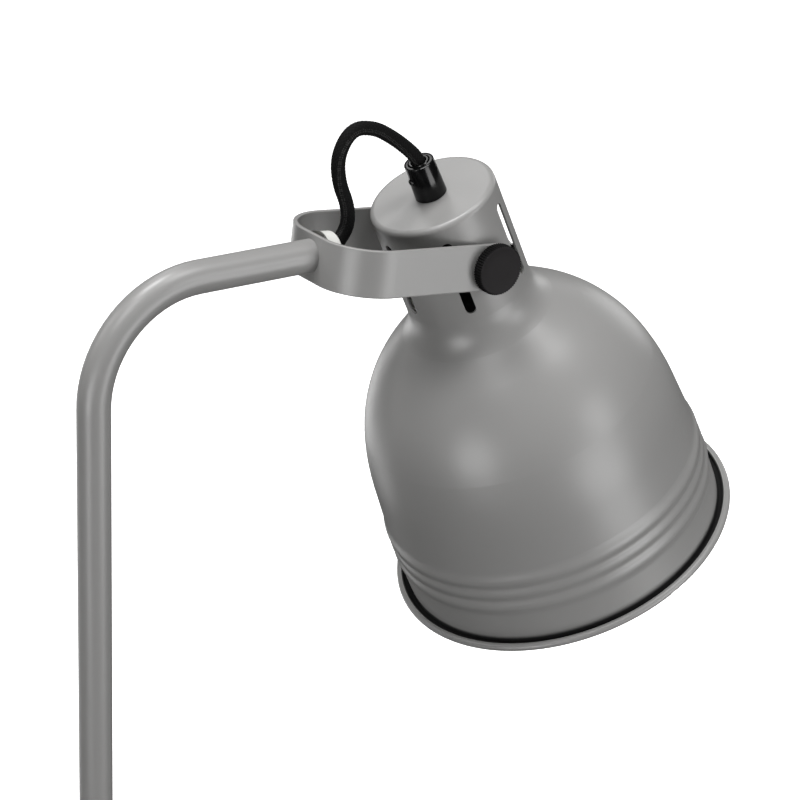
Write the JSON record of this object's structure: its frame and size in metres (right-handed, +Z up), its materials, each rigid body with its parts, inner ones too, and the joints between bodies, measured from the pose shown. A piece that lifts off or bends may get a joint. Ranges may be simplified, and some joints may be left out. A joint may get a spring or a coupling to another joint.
{
  "type": "desk lamp",
  "caption": "Desk lamp with a bent tube stem on a round weighted base, a U yoke and a spun metal bell shade that tilts on two clamping knobs, with a braided cord loop.",
  "frame": {"origin": "centre of the underside of the base, on the stem's axis", "axes": "+Z up along the stem, +X from the stem along the arm towards the shade, +Y across the lamp along the tilt axis"},
  "size_m": [0.399, 0.16, 0.4748],
  "materials": {
    "grey_paint": "satin powder coat, mid grey",
    "black_plastic": "fine matte, knurled rim",
    "gloss_black": "gloss moulded",
    "black_thermoset": "satin thermoset",
    "white_nylon": "natural white nylon",
    "zinc": "zinc plated",
    "brass": "plain",
    "black_rubber": "matte",
    "foam": "fine-cell foam",
    "cast_iron": "as cast",
    "black_braid": "braided textile"
  },
  "bodies": {
    "stand": {"base_cover": "grey_paint", "base_weight": "cast_iron", "base_pad": "foam", "lead_bush": "black_rubber", "stem_tube": "grey_paint", "stem_foot_insert": "zinc", "foot_nipple": "zinc", "foot_washer": "zinc", "foot_nut": "zinc", "arm_end_insert": "zinc", "yoke": "grey_paint", "yoke_nipple": "zinc", "yoke_nut": "zinc", "yoke_washer": "zinc", "cord_bush": "white_nylon", "cord": "black_braid"},
    "shade": {"shade": "grey_paint", "cord_grip": "gloss_black", "cord_grip_collet": "gloss_black", "cord_grip_screw": "zinc", "holder_nipple": "zinc", "holder_lock_nut": "zinc", "holder_cap": "black_thermoset", "holder_insert": "white_nylon", "holder_body": "black_thermoset", "holder_shell": "brass", "holder_contact": "brass", "weld_nut_near": "zinc", "weld_nut_far": "zinc", "neck_washer_near": "white_nylon", "neck_washer_far": "white_nylon"},
    "knob_near": {"knob_near": "black_plastic", "knob_stud_near": "zinc"},
    "knob_far": {"knob_far": "black_plastic", "knob_stud_far": "zinc"}
  },
  "joints": [
    {"name": "shade_tilt", "type": "hinge", "parent": "stand", "child": "shade", "pos_m": [0.175, 0, 0.41188], "axis": [0, -1, 0], "range_deg": [-25, 30], "deforming": ["cord"]},
    {"name": "knob_near_turn", "type": "hinge", "parent": "shade", "child": "knob_near", "pos_m": [0.175, -0.0335, 0.41188], "axis": [0, -1, 0], "range_deg": [0, 360]},
    {"name": "knob_far_turn", "type": "hinge", "parent": "shade", "child": "knob_far", "pos_m": [0.175, 0.0335, 0.41188], "axis": [0, 1, 0], "range_deg": [0, 360]}
  ]
}
